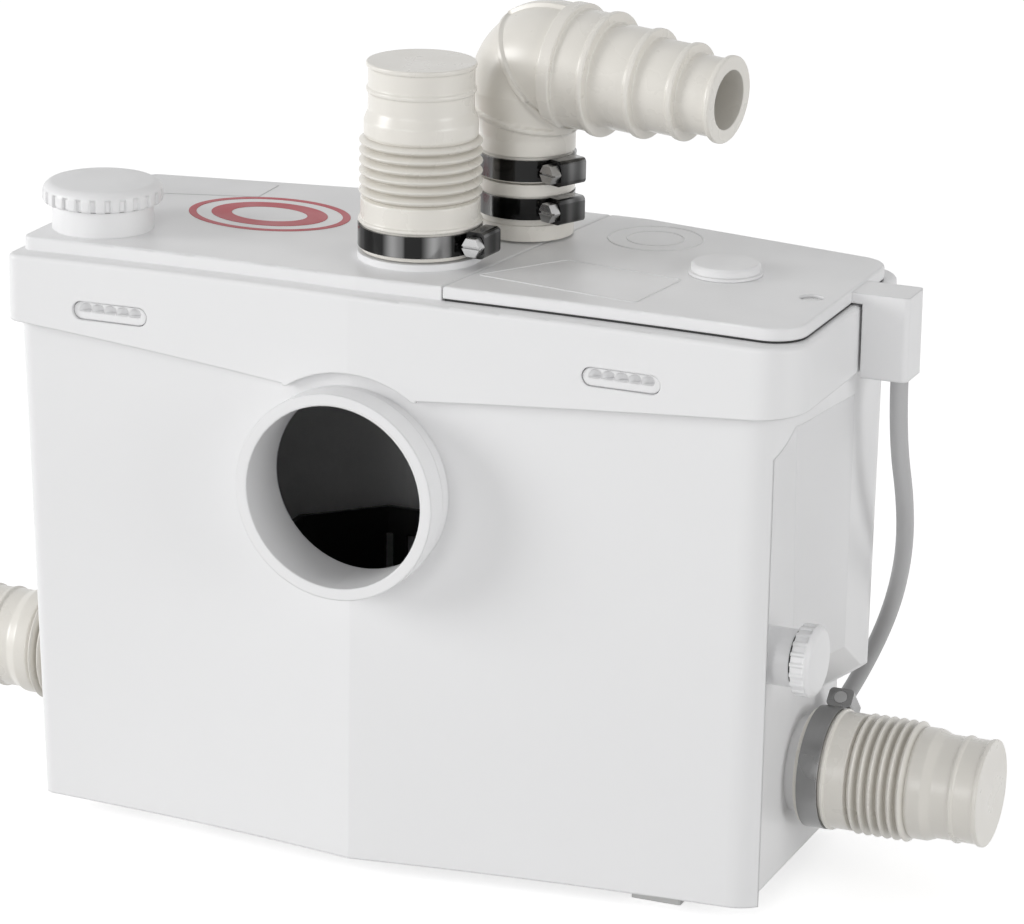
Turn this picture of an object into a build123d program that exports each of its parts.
from build123d import *
import os
from math import cos, pi, radians, sin, tan

# Macerator toilet pump: a tank that takes a toilet pan's outlet, grinds what comes in and pumps it up a
# narrow pipe. Millimetres; x to the right, y to the back, z up, origin on the floor under the middle.

# Driving dimensions of the body
body_width = 350
body_depth = 172
foot_height = 8
lid_ledge_z = 255
plate_rise = 6
inlet_x = -18
inlet_z = 173
wall = 3.5
shell = 3
cutter_over = 2
running_gap = 0.1
seat_gap = 0.3
half_body = body_width / 2
front_y = -body_depth / 2
rear_y = body_depth / 2

# Plan outline of the lid skirt; the raised plates and the tank follow it
socket_reach = 14
skirt_ridge_y = front_y + socket_reach
facet_lead = 2
facet_hollow = 2.5
end_shorten = 21
rear_flat_share = 0.16
skirt_corner = 18
left_corner_share = 0.3
ledge_front = 9
ledge_side = 3.5
skirt_step = 0.5

# Tank taper: how far the bottom outline lies inside the top one
taper_end = 0.5
taper_right = 11
taper_left_corner = 16
taper_right_corner = 20
taper_rear = 8
rim_drop = 5
tank_top_z = lid_ledge_z - rim_drop

# Side inlets, drain, caps and the discharge: insets from the body's ends and shares of its depth
side_inlet_share = 0.105
side_inlet_z = 48.5
end_inset = 23
drain_share = -0.218
drain_z = 116
cap_inset = 27
cap_share = -0.209
top_inlet_x = -8
top_inlet_share = -0.128
outlet_x = 16.6
outlet_share = 0.192
vent_inset = 59
vent_share = 0.041
seam_x = 27.3
seam_lean_share = 0.134
seam_gap = 0.6
side_inlet_y = side_inlet_share * body_depth
end_floor_x = half_body - end_inset
drain_y = drain_share * body_depth
cap_x = cap_inset - half_body
cap_y = cap_share * body_depth
top_inlet_y = top_inlet_share * body_depth
outlet_y = outlet_share * body_depth
vent_x = half_body - vent_inset
vent_y = vent_share * body_depth

# Pump and motor axis, which lies along x
shaft_y = 3
shaft_z = 66

os.makedirs("parts", exist_ok=True)


def save(builder, name):
    """Label a finished piece and write it as the STEP file of its node."""
    builder.part.label = name
    export_step(builder.part, f"parts/{name}.step")


def outline(z, ridge_y, left_front, right_front, back_corner, back_y, radius):
    """Plan face at height z: two hollow facets that meet on the ridge, two ends, a back of three flats."""
    left_x, left_y = left_front
    right_x, right_y = right_front
    ridge = (inlet_x, ridge_y)
    left_mid = ((inlet_x + left_x) / 2, (ridge_y + left_y) / 2 + facet_hollow)
    right_mid = ((inlet_x + right_x) / 2, (ridge_y + right_y) / 2 + facet_hollow)
    back_x, corner_y = back_corner
    with BuildSketch(Plane.XY.offset(z)) as sketch:
        with BuildLine():
            ThreePointArc(left_front, left_mid, ridge)
            ThreePointArc(ridge, right_mid, right_front)
            Polyline(
                right_front,
                (back_x, corner_y),
                (rear_flat_share * body_width, back_y),
                (-rear_flat_share * body_width, back_y),
                (-back_x, corner_y),
                left_front,
            )
        make_face()
        fillet(sketch.vertices().filter_by_position(Axis.X, half_body / 2, body_width), radius)
        left_corners = sketch.vertices().filter_by_position(Axis.X, -body_width, -half_body / 2)
        fillet(left_corners, radius * left_corner_share)
    return sketch.sketch


def skirt_outline(z, inset):
    """The lid skirt's plan at height z, drawn in by inset."""
    corner_x = half_body - inset
    corner_y = skirt_ridge_y - facet_lead + inset
    return outline(
        z,
        skirt_ridge_y + inset,
        (-corner_x, corner_y),
        (corner_x, corner_y),
        (corner_x, rear_y - end_shorten - inset),
        rear_y - inset,
        skirt_corner - inset,
    )


def plate_outline(z, inset):
    """The raised plate's plan: the skirt's, drawn in by the ledge."""
    corner_x = half_body - ledge_side - inset
    corner_y = skirt_ridge_y - facet_lead + ledge_front + inset
    return outline(
        z,
        skirt_ridge_y + ledge_front + inset,
        (-corner_x, corner_y),
        (corner_x, corner_y),
        (corner_x, rear_y - end_shorten - ledge_front - inset),
        rear_y - ledge_front - inset,
        skirt_corner - ledge_side - inset,
    )


def tank_outline(z, inset, bottom):
    """The tank's plan at its top or its bottom, drawn in by inset."""
    step = shell + skirt_step + inset
    down = 1 if bottom else 0
    corner_x = half_body - step
    corner_y = skirt_ridge_y - facet_lead + step
    return outline(
        z,
        skirt_ridge_y + step,
        (-corner_x + taper_end * down, corner_y + taper_left_corner * down),
        (corner_x - taper_right * down, corner_y + taper_right_corner * down),
        (corner_x - taper_end * down, rear_y - end_shorten - step),
        rear_y - step - taper_rear * down,
        skirt_corner - inset,
    )


# Tank: a blow-moulded vessel that tapers downwards, with a pocket in each end round the side inlet.
# The pocket's outline at its floor and at its mouth: shares of the body's depth and of the lid's height
pocket_floor_shares = [
    (-0.256, -0.02),
    (-0.355, 0.808),
    (-0.308, 0.855),
    (-0.012, 0.835),
    (0.023, 0.37),
    (0.169, 0.302),
    (0.349, 0.28),
    (0.56, 0.28),
    (0.56, -0.02),
]
pocket_mouth_shares = [
    (-0.267, -0.02),
    (-0.366, 0.816),
    (-0.32, 0.863),
    (0.128, 0.843),
    (0.174, 0.418),
    (0.267, 0.366),
    (0.407, 0.345),
    (0.56, 0.345),
    (0.56, -0.02),
]
pocket_out_x = half_body + ledge_side
left_pocket_shift = 8


def end_pocket(side, grow):
    """The space beside the tank's end: a drafted pocket that leaves a box column at the rear."""
    floor_plane = Plane(origin=(side * (end_floor_x - grow), 0, 0), x_dir=(0, 1, 0), z_dir=(1, 0, 0))
    mouth_plane = Plane(origin=(side * pocket_out_x, 0, 0), x_dir=(0, 1, 0), z_dir=(1, 0, 0))
    shift = (1 - side) / 2 * left_pocket_shift
    with BuildPart() as pocket:
        with BuildSketch(floor_plane):
            Polygon(*[(y * body_depth + shift, z * lid_ledge_z) for y, z in pocket_floor_shares], align=None)
            if grow:
                offset(amount=grow, kind=Kind.INTERSECTION)
        with BuildSketch(mouth_plane):
            Polygon(*[(y * body_depth + shift, z * lid_ledge_z) for y, z in pocket_mouth_shares], align=None)
            if grow:
                offset(amount=grow, kind=Kind.INTERSECTION)
        loft(ruled=True)
    return pocket.part


socket_bore = 39
socket_wall = 5
socket_length = 29
socket_seat = 12
socket_root_step = 1.2
socket_inner_y = front_y + socket_length
socket_radius = socket_bore + socket_wall
stub_radius = 20.5
stub_wall = 3
stub_length = 30
drain_neck_radius = 12
drain_bore = 9
drain_neck_length = 16
drain_neck_x = end_floor_x + drain_neck_length
bead = 1

with BuildPart() as cavity:
    add(tank_outline(foot_height + wall, wall, True))
    add(tank_outline(tank_top_z + cutter_over, wall, False))
    loft(ruled=True)
    add(end_pocket(1, wall), mode=Mode.SUBTRACT)
    add(end_pocket(-1, wall), mode=Mode.SUBTRACT)

with BuildPart() as tank:
    add(tank_outline(foot_height, 0, True))
    add(tank_outline(tank_top_z, 0, False))
    loft(ruled=True)
    add(end_pocket(1, 0), mode=Mode.SUBTRACT)
    add(end_pocket(-1, 0), mode=Mode.SUBTRACT)
    add(cavity.part, mode=Mode.SUBTRACT)
    with BuildSketch(Plane(origin=(inlet_x, socket_inner_y, inlet_z), z_dir=(0, -1, 0))):
        Circle(socket_radius - socket_root_step)
    extrude(amount=socket_inner_y - front_y)
    with BuildSketch(Plane(origin=(inlet_x, front_y, inlet_z), z_dir=(0, -1, 0))):
        Circle(socket_radius)
    extrude(amount=-socket_seat)
    for side in (1, -1):
        end_plane = Plane(origin=(side * (end_floor_x - wall), side_inlet_y, side_inlet_z), z_dir=(side, 0, 0))
        with BuildSketch(end_plane):
            Circle(stub_radius)
        extrude(amount=wall + stub_length)
        with BuildSketch(end_plane):
            Circle(stub_radius - stub_wall)
        extrude(amount=wall + stub_length + cutter_over, mode=Mode.SUBTRACT)
    with BuildSketch(Plane(origin=(end_floor_x - wall, drain_y, drain_z), z_dir=(1, 0, 0))) as drain_sketch:
        Circle(drain_neck_radius)
    extrude(amount=drain_neck_x - end_floor_x + wall)
    with BuildSketch(Plane(origin=(end_floor_x - 2 * wall, drain_y, drain_z), z_dir=(1, 0, 0))):
        Circle(drain_bore)
    extrude(amount=drain_neck_x - end_floor_x + 3 * wall, mode=Mode.SUBTRACT)
    with BuildSketch(Plane(origin=(inlet_x, socket_inner_y + wall, inlet_z), z_dir=(0, -1, 0))):
        Circle(socket_bore)
    extrude(amount=socket_inner_y + 2 * wall - front_y, mode=Mode.SUBTRACT)
save(tank, "tank")

# Feet: four rubber blocks that plug into the tank's floor
foot_length = 22
foot_width = 14
foot_inset_x = 65
foot_inset_y = 47
foot_pitch_x = body_width - 2 * foot_inset_x
foot_pitch_y = body_depth - 2 * foot_inset_y
foot_stud_radius = 3.5
foot_rear_shift = 6
with BuildPart() as feet:
    with BuildSketch():
        with Locations((0, foot_rear_shift)):
            with GridLocations(foot_pitch_x, foot_pitch_y, 2, 2):
                RectangleRounded(foot_length, foot_width, bead)
    extrude(amount=foot_height)
save(feet, "rubber_feet")

# Lid casing: a skirt that hangs over the tank's rim, a ledge, a raised plate at the left with the necks of
# the cap and the upright inlet, and a sunk tray at the right that keeps the electrics dry
skirt_drop = 42
skirt_end_drop = 28
skirt_low_z = lid_ledge_z - skirt_drop
skirt_end_z = lid_ledge_z - skirt_end_drop
skirt_low_half = 30
arch_gap = 5
lid_inner_z = lid_ledge_z - shell
plate_z = lid_ledge_z + plate_rise
cap_neck_radius = 21.5
cap_neck_bore = 18.5
cap_neck_height = 11
top_stub_height = 26
top_collar_radius = 26
top_collar_height = 3
boss_inset = 14.7
boss_x = half_body - boss_inset
boss_y = -13.1
boss_radius = 6
boss_depth = 12
screw_hole = 2
outlet_stub_radius = 16.5
outlet_stub_wall = 3
outlet_stub_height = 9
dip_nipple_radius = 4
tray_left = 34
tray_end_inset = 29
tray_front_inset = 32
tray_rear_inset = 28
tray_depth = 50
tray_corner = 8
tray_right = half_body - tray_end_inset
tray_front = front_y + tray_front_inset
tray_rear = rear_y - tray_rear_inset
tray_floor_z = lid_ledge_z - tray_depth
dip_inset = 20
dip_lead = 8
dip_x = tray_left + dip_inset
dip_y = tray_front + dip_lead
stack_radius = 16.5
stack_wall = 2.5
vent_slot_length = 34
vent_slot_height = 8
vent_slot_drop = 21
vent_left_inset = 48
vent_right_inset = 74
slot_depth = 9
vent_slot_z = lid_ledge_z - vent_slot_drop
vent_left_x = vent_left_inset - half_body
vent_right_x = half_body - vent_right_inset


def cut_seam(side, reach):
    """A slab on one side of the leaning seam; what it leaves passes the seam by reach."""
    middle = seam_x + side * reach
    far = side * body_width
    with BuildPart() as slab:
        with BuildSketch(Plane.XY.offset(tray_floor_z - cutter_over)):
            Polygon(
                (middle - seam_lean_share * half_body, -half_body),
                (middle + seam_lean_share * half_body, half_body),
                (far, half_body),
                (far, -half_body),
                align=None,
            )
        extrude(amount=body_depth)
    return slab.part


def raised_plate(low_z, top_z, inset, side, reach):
    """A part of the raised plate, drawn in by inset, that passes the seam by reach."""
    with BuildPart() as plate:
        add(plate_outline(low_z, inset))
        extrude(amount=top_z - low_z)
        add(cut_seam(side, reach), mode=Mode.SUBTRACT)
        if not inset:
            fillet(plate.faces().sort_by(Axis.Z)[-1].edges(), bead)
    return plate.part


def tube(plane, outer_radius, inner_radius, length):
    """A plain round tube that starts on a plane."""
    with BuildPart() as piece:
        with BuildSketch(plane):
            Circle(outer_radius)
            Circle(inner_radius, mode=Mode.SUBTRACT)
        extrude(amount=length)
    return piece


with BuildPart() as lid_casing:
    add(skirt_outline(skirt_low_z, 0))
    extrude(amount=lid_ledge_z - skirt_low_z)
    fillet(lid_casing.faces().sort_by(Axis.Z)[-1].edges(), 2 * bead)
    add(skirt_outline(skirt_low_z - cutter_over, shell))
    extrude(amount=lid_inner_z - skirt_low_z + cutter_over, mode=Mode.SUBTRACT)
    with BuildSketch(Plane.XZ.offset(-half_body)):
        Polygon(
            (-half_body - cutter_over, skirt_low_z - cutter_over),
            (-half_body - cutter_over, skirt_end_z),
            (inlet_x - skirt_low_half, skirt_low_z + bead),
            (inlet_x - skirt_low_half, skirt_low_z - cutter_over),
            align=None,
        )
        Polygon(
            (half_body + cutter_over, skirt_low_z - cutter_over),
            (half_body + cutter_over, skirt_end_z),
            (inlet_x + skirt_low_half, skirt_low_z + bead),
            (inlet_x + skirt_low_half, skirt_low_z - cutter_over),
            align=None,
        )
    extrude(amount=body_width, mode=Mode.SUBTRACT)
    with BuildSketch(Plane(origin=(inlet_x, 0, inlet_z), z_dir=(0, -1, 0))):
        Circle(socket_radius + arch_gap)
    extrude(amount=body_depth, mode=Mode.SUBTRACT)
    add(raised_plate(lid_ledge_z - bead, plate_z, 0, 1, 0))
    add(raised_plate(lid_inner_z - cutter_over, plate_z - shell, shell, 1, -shell), mode=Mode.SUBTRACT)
    with BuildSketch(Plane.XY.offset(tray_floor_z)):
        with Locations(((tray_left + tray_right) / 2, (tray_front + tray_rear) / 2)):
            RectangleRounded(tray_right - tray_left, tray_rear - tray_front, tray_corner)
    extrude(amount=lid_ledge_z - tray_floor_z)
    with BuildSketch(Plane.XY.offset(tray_floor_z + shell)):
        with Locations(((tray_left + tray_right) / 2, (tray_front + tray_rear) / 2)):
            RectangleRounded(
                tray_right - tray_left - 2 * shell, tray_rear - tray_front - 2 * shell, tray_corner - shell
            )
    extrude(amount=lid_ledge_z - tray_floor_z, mode=Mode.SUBTRACT)
    with BuildSketch(Plane.XY.offset(tray_floor_z)):
        with Locations((dip_x, dip_y)):
            Circle(dip_nipple_radius + running_gap)
    extrude(amount=shell, mode=Mode.SUBTRACT)
    with BuildSketch(Plane.XY.offset(tray_floor_z)):
        with Locations((vent_x, vent_y)):
            Circle(stack_radius)
    extrude(amount=lid_ledge_z - tray_floor_z)
    with BuildSketch(Plane.XY.offset(tray_floor_z - cutter_over)):
        with Locations((vent_x, vent_y)):
            Circle(stack_radius - stack_wall)
    extrude(amount=lid_ledge_z, mode=Mode.SUBTRACT)
    with BuildSketch(Plane.XY.offset(lid_inner_z + shell)):
        with Locations((cap_x, cap_y)):
            Circle(cap_neck_radius)
        with Locations((top_inlet_x, top_inlet_y)):
            Circle(stub_radius)
        with Locations((outlet_x, outlet_y)):
            Circle(outlet_stub_radius)
    extrude(amount=plate_rise)
    with BuildSketch(Plane.XY.offset(plate_z)):
        with Locations((cap_x, cap_y)):
            Circle(cap_neck_radius)
    extrude(amount=cap_neck_height)
    with BuildSketch(Plane.XY.offset(plate_z)):
        with Locations((top_inlet_x, top_inlet_y)):
            Circle(top_collar_radius)
    extrude(amount=top_collar_height)
    with BuildSketch(Plane.XY.offset(plate_z)):
        with Locations((top_inlet_x, top_inlet_y)):
            Circle(stub_radius)
    extrude(amount=top_stub_height)
    with BuildSketch(Plane.XY.offset(lid_inner_z - outlet_stub_height)):
        with Locations((outlet_x, outlet_y)):
            Circle(outlet_stub_radius)
    extrude(amount=plate_z - lid_inner_z + 2 * outlet_stub_height)
    with BuildSketch(Plane.XY.offset(lid_inner_z - 2 * outlet_stub_height)):
        with Locations((cap_x, cap_y)):
            Circle(cap_neck_bore)
        with Locations((top_inlet_x, top_inlet_y)):
            Circle(stub_radius - stub_wall)
        with Locations((outlet_x, outlet_y)):
            Circle(outlet_stub_radius - outlet_stub_wall)
    extrude(amount=lid_ledge_z, mode=Mode.SUBTRACT)
    with BuildSketch(Plane.XY.offset(lid_inner_z)):
        with Locations((boss_x, boss_y)):
            Circle(boss_radius)
    extrude(amount=-boss_depth)
    with BuildSketch(Plane.XY.offset(lid_ledge_z)):
        with Locations((boss_x, boss_y)):
            Circle(screw_hole + running_gap)
    extrude(amount=-boss_depth, mode=Mode.SUBTRACT)
    for vent_side_x in (vent_left_x, vent_right_x):
        vent_plane = Plane(
            origin=(vent_side_x, skirt_ridge_y - slot_depth, vent_slot_z), x_dir=(1, 0, 0), z_dir=(0, -1, 0)
        )
        with BuildSketch(vent_plane):
            SlotOverall(vent_slot_length, vent_slot_height)
        extrude(amount=-2 * slot_depth, mode=Mode.SUBTRACT)
save(lid_casing, "lid_casing")

# Gasket that seals the lid on the tank's rim
with BuildPart() as gasket:
    add(tank_outline(tank_top_z, 0, False))
    extrude(amount=lid_inner_z - tank_top_z)
    add(tank_outline(tank_top_z - cutter_over, wall, False))
    extrude(amount=lid_inner_z - tank_top_z + 2 * cutter_over, mode=Mode.SUBTRACT)
save(gasket, "lid_gasket")

# Vent grilles: moulded inserts in the skirt's two slots, each with a row of round-ended openings
grille_thick = 2
grille_openings = 5
grille_pitch = 5.8
grille_slit = 3.4
grille_slit_height = 5.4
grille_y = skirt_ridge_y + seat_gap
with BuildPart() as grilles:
    for vent_side_x in (vent_left_x, vent_right_x):
        with BuildSketch(Plane(origin=(vent_side_x, grille_y, vent_slot_z), x_dir=(1, 0, 0), z_dir=(0, -1, 0))):
            SlotOverall(vent_slot_length - 2 * running_gap, vent_slot_height - 2 * running_gap)
            with GridLocations(grille_pitch, 0, grille_openings, 1):
                SlotOverall(grille_slit_height, grille_slit, rotation=90, mode=Mode.SUBTRACT)
        extrude(amount=-grille_thick)
save(grilles, "vent_grilles")

# Electrical cover: the right half of the raised plate, with an arm that turns down into the cable box
cover_low_z = lid_ledge_z + bead
cover_top_z = plate_z + running_gap
screw_head = 4
recess_depth = 3
notch_radius = outlet_stub_radius + seam_gap
box_slit = 1.2
box_reach = 21
box_half = 10
box_drop = 30
box_round = 2.5
cord_inset = 6
cord_share = 0.0814
box_inner_x = half_body + box_slit
box_outer_x = half_body + box_reach
box_low_z = lid_ledge_z - box_drop
box_arm_z = plate_z - seam_gap
cord_x = box_outer_x - cord_inset
cord_y = cord_share * body_depth
box_front_y = cord_y - box_half
box_rear_y = cord_y + box_half
gland_radius = 5
gland_length = 24
cord_radius = 3.75
with BuildPart() as electrical_cover:
    add(raised_plate(cover_low_z, cover_top_z, 0, -1, -seam_gap))
    with BuildSketch(Plane.XZ.offset(-box_rear_y)):
        with BuildLine():
            Polyline(
                (half_body - ledge_front, cover_low_z),
                (box_inner_x, cover_low_z),
                (box_inner_x, box_low_z),
                (box_outer_x, box_low_z),
                (box_outer_x, box_arm_z),
                (half_body - ledge_front, box_arm_z),
                close=True,
            )
        make_face()
    extrude(amount=box_rear_y - box_front_y)
    outer_edges = electrical_cover.edges().filter_by(Axis.Z).filter_by_position(
        Axis.X, box_outer_x - bead, box_outer_x + bead
    )
    fillet(outer_edges, box_round)
    add(
        raised_plate(cover_low_z - cutter_over, cover_top_z - shell, shell, -1, -seam_gap - shell),
        mode=Mode.SUBTRACT,
    )
    with BuildSketch(Plane.XY.offset(lid_ledge_z - cutter_over)):
        with Locations((outlet_x, outlet_y)):
            Circle(notch_radius)
    extrude(amount=plate_rise + 2 * cutter_over, mode=Mode.SUBTRACT)
    with BuildSketch(Plane.XY.offset(cover_low_z)):
        with Locations((boss_x, boss_y)):
            Circle(boss_radius)
    extrude(amount=cover_top_z - cover_low_z - bead)
    with BuildSketch(Plane.XY.offset(cover_top_z - recess_depth)):
        with Locations((boss_x, boss_y)):
            Circle(screw_head + bead)
    extrude(amount=recess_depth + cutter_over, mode=Mode.SUBTRACT)
    with BuildSketch(Plane.XY.offset(cover_low_z - cutter_over)):
        with Locations((boss_x, boss_y)):
            Circle(screw_hole + seat_gap)
        with Locations((vent_x, vent_y)):
            Circle(stack_radius - stack_wall)
    extrude(amount=plate_rise + 2 * cutter_over, mode=Mode.SUBTRACT)
    with BuildSketch(Plane.XY.offset(box_low_z - cutter_over)):
        with Locations((cord_x, cord_y)):
            Circle(gland_radius)
    extrude(amount=gland_length + cutter_over, mode=Mode.SUBTRACT)
    with BuildSketch(Plane(origin=(half_body - 2 * ledge_front, cord_y, lid_ledge_z), z_dir=(1, 0, 0))):
        Rectangle(2 * plate_rise, 2 * cord_radius, rotation=90)
    extrude(amount=cord_x - half_body + 2 * ledge_front, mode=Mode.SUBTRACT)
save(electrical_cover, "electrical_cover")

# Seal between the cover's rim and the lid, and the cover's screw
seal_width = 2
with BuildPart() as cover_seal:
    add(raised_plate(lid_ledge_z, cover_low_z, seat_gap, -1, -2 * seam_gap))
    add(
        raised_plate(lid_ledge_z - cutter_over, cover_low_z + cutter_over, seal_width, -1, -seam_gap - seal_width),
        mode=Mode.SUBTRACT,
    )
    with BuildSketch(Plane.XY.offset(lid_ledge_z - cutter_over)):
        with Locations((outlet_x, outlet_y)):
            Circle(notch_radius)
    extrude(amount=plate_rise, mode=Mode.SUBTRACT)
    seal_pieces = cover_seal.solids().sort_by(SortBy.VOLUME)
    for piece in seal_pieces[:-1]:
        add(piece, mode=Mode.SUBTRACT)
save(cover_seal, "cover_seal")

screw_length = 12
with BuildPart() as cover_screw:
    with BuildSketch(Plane.XY.offset(cover_top_z - recess_depth)):
        with Locations((boss_x, boss_y)):
            Circle(screw_head)
    extrude(amount=recess_depth - bead)
    with BuildSketch(Plane.XY.offset(cover_top_z - recess_depth - screw_length)):
        with Locations((boss_x, boss_y)):
            Circle(screw_hole)
    extrude(amount=screw_length)
save(cover_screw, "cover_screw")

# Cable gland: a tapered rubber grip inside the cable box, flush with its floor
with BuildPart() as cable_gland:
    with BuildSketch(Plane.XY.offset(box_low_z)):
        with Locations((cord_x, cord_y)):
            Circle(gland_radius - running_gap)
    with BuildSketch(Plane.XY.offset(box_low_z + gland_length)):
        with Locations((cord_x, cord_y)):
            Circle(gland_radius - bead)
    loft()
save(cable_gland, "cable_gland")

# Vent cap: a round cap whose plug holds the carbon filter in the lid's stack
vent_cap_radius = 15.4
vent_cap_rise = 5
vent_rim_rise = 1.5
vent_plug_radius = stack_radius - stack_wall - seat_gap
vent_plug_wall = 1.4
vent_plug_depth = 15
with BuildPart() as vent_cap:
    with BuildSketch(Plane(origin=(vent_x, vent_y, cover_top_z), x_dir=(1, 0, 0), z_dir=(0, -1, 0))):
        with BuildLine():
            Polyline(
                (0, vent_rim_rise),
                (vent_plug_radius - vent_plug_wall, vent_rim_rise),
                (vent_plug_radius - vent_plug_wall, -vent_plug_depth),
                (vent_plug_radius, -vent_plug_depth),
                (vent_plug_radius, running_gap),
                (vent_cap_radius, running_gap),
                (vent_cap_radius, vent_rim_rise),
                (vent_cap_radius - bead, vent_rim_rise),
                (vent_cap_radius - bead, vent_cap_rise - bead),
                (vent_cap_radius - 2 * bead, vent_cap_rise),
                (0, vent_cap_rise),
                close=True,
            )
        make_face()
    revolve(axis=Axis((vent_x, vent_y, 0), (0, 0, 1)))
save(vent_cap, "vent_cap")

filter_height = 12
carbon_filter = tube(
    Plane(origin=(vent_x, vent_y, cover_top_z + vent_rim_rise - filter_height), z_dir=(0, 0, 1)),
    vent_plug_radius - vent_plug_wall - running_gap,
    bead,
    filter_height,
)
save(carbon_filter, "carbon_filter")

# Inspection cap: a grooved screw cap with a plug, on a seal that rests on the lid's neck
grip_count = 25
grip_depth = 1.2
grip_width = 2.8
cap_radius = 25.5
cap_height = 9
cap_seal = 0.6
cap_plug_depth = 8
cap_plug_wall = 2
cap_dish = 1.5
neck_top_z = plate_z + cap_neck_height
cap_base_z = neck_top_z + cap_seal
inspection_seal = tube(
    Plane(origin=(cap_x, cap_y, neck_top_z), z_dir=(0, 0, 1)), cap_neck_radius, cap_neck_bore, cap_seal
)
save(inspection_seal, "inspection_seal")


def grip_cap(base, radius, height, count):
    """A round cap with grip grooves down its rim and a shallow dish in its face, standing on a plane."""
    with BuildPart() as cap:
        with BuildSketch(base):
            Circle(radius)
            with PolarLocations(radius, count):
                Rectangle(2 * grip_depth, grip_width, mode=Mode.SUBTRACT)
        extrude(amount=height)
        with BuildSketch(base.offset(height - cap_dish)):
            Circle(radius - 2 * grip_depth - bead)
        extrude(amount=cap_dish, taper=-45, mode=Mode.SUBTRACT)
    return cap.part


with BuildPart() as inspection_cap:
    add(grip_cap(Plane(origin=(cap_x, cap_y, cap_base_z), z_dir=(0, 0, 1)), cap_radius, cap_height, grip_count))
    with BuildSketch(Plane.XY.offset(cap_base_z - cap_plug_depth)):
        with Locations((cap_x, cap_y)):
            Circle(cap_neck_bore - running_gap)
            Circle(cap_neck_bore - running_gap - cap_plug_wall, mode=Mode.SUBTRACT)
    extrude(amount=cap_plug_depth)
save(inspection_cap, "inspection_cap")

# Drain cap: a smaller screw cap on the neck at the tank's right end
drain_cap_radius = 15
drain_cap_height = 9
drain_grip_count = 20
drain_seal_thick = 1
drain_plane = Plane(origin=(drain_neck_x, drain_y, drain_z), z_dir=(1, 0, 0))
save(tube(drain_plane, drain_neck_radius, drain_bore + running_gap, drain_seal_thick), "drain_seal")
with BuildPart() as drain_cap:
    add(grip_cap(drain_plane.offset(drain_seal_thick), drain_cap_radius, drain_cap_height, drain_grip_count))
    with BuildSketch(drain_plane.offset(drain_seal_thick)):
        Circle(drain_bore - running_gap)
    extrude(amount=-drain_neck_length + bead)
save(drain_cap, "drain_cap")

# Inlet sleeves: moulded rubber sleeves with a bellows and a stepped end that the plumber cuts open
sleeve_seat_radius = 24.6
sleeve_seat_length = 12
sleeve_lip_radius = 25.8
sleeve_lip_length = 1.5
sleeve_barrel_radius = 24.8
bellows_start = 22.8
bellows_end = 48.2
rib_count = 6
rib_crest_radius = 25.6
rib_valley_radius = 23
shoulder_radius = 23.7
shoulder_end = 54.9
taper_end = 59.1
tip_radius = 22
tip_ring_radius = 22.8
tip_ring_start = 66.5
tip_ring_end = 68.8
end_ring_start = 77.1
sleeve_length = 79.1
bellows_bore = 20
tip_bore = 19
end_wall = 3


def sleeve(origin, direction, radial):
    """A closed inlet sleeve whose open end is at origin and whose axis runs along direction."""
    rib_pitch = (bellows_end - bellows_start) / rib_count
    outer = [
        (stub_radius, 0),
        (sleeve_seat_radius, 0),
        (sleeve_seat_radius, sleeve_seat_length),
        (sleeve_lip_radius, sleeve_seat_length),
        (sleeve_lip_radius, sleeve_seat_length + sleeve_lip_length),
        (sleeve_barrel_radius, sleeve_seat_length + sleeve_lip_length),
        (sleeve_barrel_radius, bellows_start),
    ]
    for rib in range(rib_count):
        foot = bellows_start + rib * rib_pitch
        outer += [
            (rib_valley_radius, foot + rib_pitch / 6),
            (rib_crest_radius, foot + rib_pitch / 3),
            (rib_crest_radius, foot + rib_pitch * 2 / 3),
            (rib_valley_radius, foot + rib_pitch * 5 / 6),
        ]
    outer += [
        (shoulder_radius, bellows_end),
        (shoulder_radius, shoulder_end),
        (tip_radius, taper_end),
        (tip_radius, tip_ring_start),
        (tip_ring_radius, tip_ring_start),
        (tip_ring_radius, tip_ring_end),
        (tip_radius, tip_ring_end),
        (tip_radius, end_ring_start),
        (tip_ring_radius, end_ring_start),
        (tip_ring_radius, sleeve_length),
        (0, sleeve_length),
        (0, sleeve_length - end_wall),
        (tip_bore, sleeve_length - end_wall),
        (tip_bore, taper_end),
        (bellows_bore, shoulder_end),
        (bellows_bore, bellows_end),
        (stub_radius, bellows_end - rib_pitch),
    ]
    normal = Vector(*radial).cross(Vector(*direction))
    with BuildPart() as piece:
        with BuildSketch(Plane(origin=origin, x_dir=radial, z_dir=normal)):
            with BuildLine():
                Polyline(*outer, close=True)
            make_face()
        revolve(axis=Axis(origin, direction))
    return piece


top_sleeve_gap = 0.5
sleeve_foot_gap = 5
sleeve_foot_x = end_floor_x + sleeve_foot_gap
top_sleeve_z = plate_z + top_collar_height + top_sleeve_gap
save(sleeve((top_inlet_x, top_inlet_y, top_sleeve_z), (0, 0, 1), (1, 0, 0)), "top_inlet_sleeve")
for side, name in ((-1, "left"), (1, "right")):
    save(sleeve((side * sleeve_foot_x, side_inlet_y, side_inlet_z), (side, 0, 0), (0, 1, 0)), f"{name}_inlet_sleeve")

# Worm-drive clamps: a band with a slotted worm screw in a housing on one side
band_width = 9
band_thick = 1.3
worm_radius = 2.8
worm_housing_length = 14
worm_housing_width = 11
worm_housing_height = 8.6
worm_housing_round = 2
worm_offset = 5.2
worm_head_radius = 4.4
worm_head_length = 4.5
worm_head_gap = 0.4
worm_slot_width = 1
worm_slot_depth = 1.4


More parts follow.
